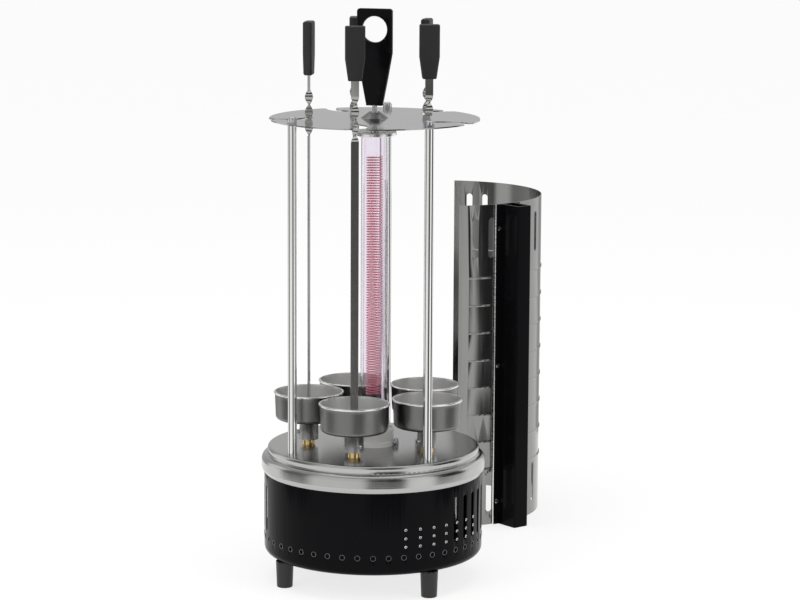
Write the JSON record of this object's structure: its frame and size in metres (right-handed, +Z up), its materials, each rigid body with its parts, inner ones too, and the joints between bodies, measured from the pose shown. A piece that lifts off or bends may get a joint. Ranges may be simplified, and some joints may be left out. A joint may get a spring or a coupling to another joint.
{
  "type": "electric skewer grill",
  "caption": "Upright electric grill: skewers turn above drip cups round a quartz heater on a black drum, with a slotted top plate and a separate half-round reflector.",
  "frame": {"origin": "on the table at the grill's upright axis", "axes": "+Z up along the grill's axis; -Y is the front, towards the viewer; +X is the right, where the separate reflector stands"},
  "size_m": [0.3016, 0.5375, 0.5827],
  "materials": {
    "drum_enamel": "gloss black enamel on steel",
    "base_steel": "plain galvanised steel sheet",
    "gland_rubber": "black rubber",
    "foot_plastic": "black moulded plastic",
    "lid_steel": "polished stainless steel",
    "brass": "turned brass",
    "gear_nylon": "natural nylon",
    "gear_steel": "turned and hobbed steel",
    "motor_zinc": "zinc-plated steel can",
    "terminal_plastic": "cream heat-proof plastic",
    "post_steel": "polished stainless steel rod",
    "zinc_steel": "zinc-plated steel",
    "plate_steel": "mirror-polished stainless steel",
    "grip_plastic": "black heat-proof plastic",
    "disc_steel": "satin stainless steel",
    "ceramic": "matt white ceramic",
    "quartz": "clear quartz tube",
    "coil_wire": "resistance wire, pink-red",
    "cup_steel": "drawn stainless steel",
    "blade_steel": "flat stainless steel, darkened",
    "reflector_steel": "bright pressed steel sheet",
    "strip_enamel": "black enamel on steel"
  },
  "bodies": {
    "base": {"base_plate": "base_steel", "bearing_sleeve": "gear_steel", "cap_nuts": "zinc_steel", "carry_handle": "grip_plastic", "clamp_ring": "zinc_steel", "cord_gland": "gland_rubber", "foot_1": "foot_plastic", "foot_2": "foot_plastic", "foot_3": "foot_plastic", "gear_motor": "motor_zinc", "gear_plate": "base_steel", "gear_plate_pillars": "gear_steel", "handle_stud": "zinc_steel", "handle_washer": "zinc_steel", "heater_cap": "ceramic", "heater_disc": "disc_steel", "heater_socket": "ceramic", "heater_spacer": "zinc_steel", "heating_coil": "coil_wire", "lid_cover": "lid_steel", "long_bolts": "gear_steel", "lower_housing": "drum_enamel", "post_front_left": "post_steel", "post_front_right": "post_steel", "post_nuts": "zinc_steel", "post_rear": "post_steel", "quartz_tube": "quartz", "spindle_bushes": "brass", "terminal_block": "terminal_plastic", "top_plate": "plate_steel"},
    "drive_gear": {"drive_gear": "gear_nylon"},
    "motor_pinion": {"motor_pinion": "gear_steel"},
    "spindle_1": {"spindle_1": "gear_steel", "spindle_gear_1": "gear_nylon", "drip_cup_1": "cup_steel"},
    "skewer_1": {"skewer_blade_1": "blade_steel", "skewer_handle_1": "grip_plastic"},
    "spindle_2": {"spindle_2": "gear_steel", "spindle_gear_2": "gear_nylon", "drip_cup_2": "cup_steel"},
    "skewer_2": {"skewer_blade_2": "blade_steel", "skewer_handle_2": "grip_plastic"},
    "spindle_3": {"spindle_3": "gear_steel", "spindle_gear_3": "gear_nylon", "drip_cup_3": "cup_steel"},
    "skewer_3": {"skewer_blade_3": "blade_steel", "skewer_handle_3": "grip_plastic"},
    "spindle_4": {"spindle_4": "gear_steel", "spindle_gear_4": "gear_nylon", "drip_cup_4": "cup_steel"},
    "skewer_4": {"skewer_blade_4": "blade_steel", "skewer_handle_4": "grip_plastic"},
    "spindle_5": {"spindle_5": "gear_steel", "spindle_gear_5": "gear_nylon", "drip_cup_5": "cup_steel"},
    "skewer_5": {"skewer_blade_5": "blade_steel", "skewer_handle_5": "grip_plastic"},
    "reflector": {"reflector_shell": "reflector_steel", "reflector_handle": "strip_enamel", "reflector_rivets": "zinc_steel"}
  },
  "joints": [
    {"name": "drive_gear_turn", "type": "hinge", "parent": "base", "child": "drive_gear", "pos_m": [0, 0, 0.12], "axis": [0, 0, 1], "continuous": true},
    {"name": "motor_pinion_turn", "type": "hinge", "parent": "base", "child": "motor_pinion", "pos_m": [0.01666, 0.05451, 0.12], "axis": [0, 0, 1], "continuous": true},
    {"name": "spindle_1_turn", "type": "hinge", "parent": "base", "child": "spindle_1", "pos_m": [-0.0193, -0.06312, 0.12], "axis": [0, 0, 1], "continuous": true},
    {"name": "skewer_1_lift", "type": "slide", "parent": "spindle_1", "child": "skewer_1", "axis": [0, 0, 1], "range_m": [0, 0.34]},
    {"name": "spindle_2_turn", "type": "hinge", "parent": "base", "child": "spindle_2", "pos_m": [0.05406, -0.03786, 0.12], "axis": [0, 0, 1], "continuous": true},
    {"name": "skewer_2_lift", "type": "slide", "parent": "spindle_2", "child": "skewer_2", "axis": [0, 0, 1], "range_m": [0, 0.34]},
    {"name": "spindle_3_turn", "type": "hinge", "parent": "base", "child": "spindle_3", "pos_m": [0.05271, 0.03972, 0.12], "axis": [0, 0, 1], "continuous": true},
    {"name": "skewer_3_lift", "type": "slide", "parent": "spindle_3", "child": "skewer_3", "axis": [0, 0, 1], "range_m": [0, 0.34]},
    {"name": "spindle_4_turn", "type": "hinge", "parent": "base", "child": "spindle_4", "pos_m": [-0.02149, 0.0624, 0.12], "axis": [0, 0, 1], "continuous": true},
    {"name": "skewer_4_lift", "type": "slide", "parent": "spindle_4", "child": "skewer_4", "axis": [0, 0, 1], "range_m": [0, 0.34]},
    {"name": "spindle_5_turn", "type": "hinge", "parent": "base", "child": "spindle_5", "pos_m": [-0.06599, -0.00115, 0.12], "axis": [0, 0, 1], "continuous": true},
    {"name": "skewer_5_lift", "type": "slide", "parent": "spindle_5", "child": "skewer_5", "axis": [0, 0, 1], "range_m": [0, 0.34]},
    {"name": "reflector_lift", "type": "slide", "parent": "base", "child": "reflector", "axis": [0, 0, 1], "range_m": [0, 0.12]}
  ],
  "couplings": [
    {"joint": "motor_pinion_turn", "follows": "drive_gear_turn", "ratio": -3.75},
    {"joint": "spindle_1_turn", "follows": "drive_gear_turn", "ratio": -2.1429},
    {"joint": "spindle_2_turn", "follows": "drive_gear_turn", "ratio": -2.1429},
    {"joint": "spindle_3_turn", "follows": "drive_gear_turn", "ratio": -2.1429},
    {"joint": "spindle_4_turn", "follows": "drive_gear_turn", "ratio": -2.1429},
    {"joint": "spindle_5_turn", "follows": "drive_gear_turn", "ratio": -2.1429}
  ]
}
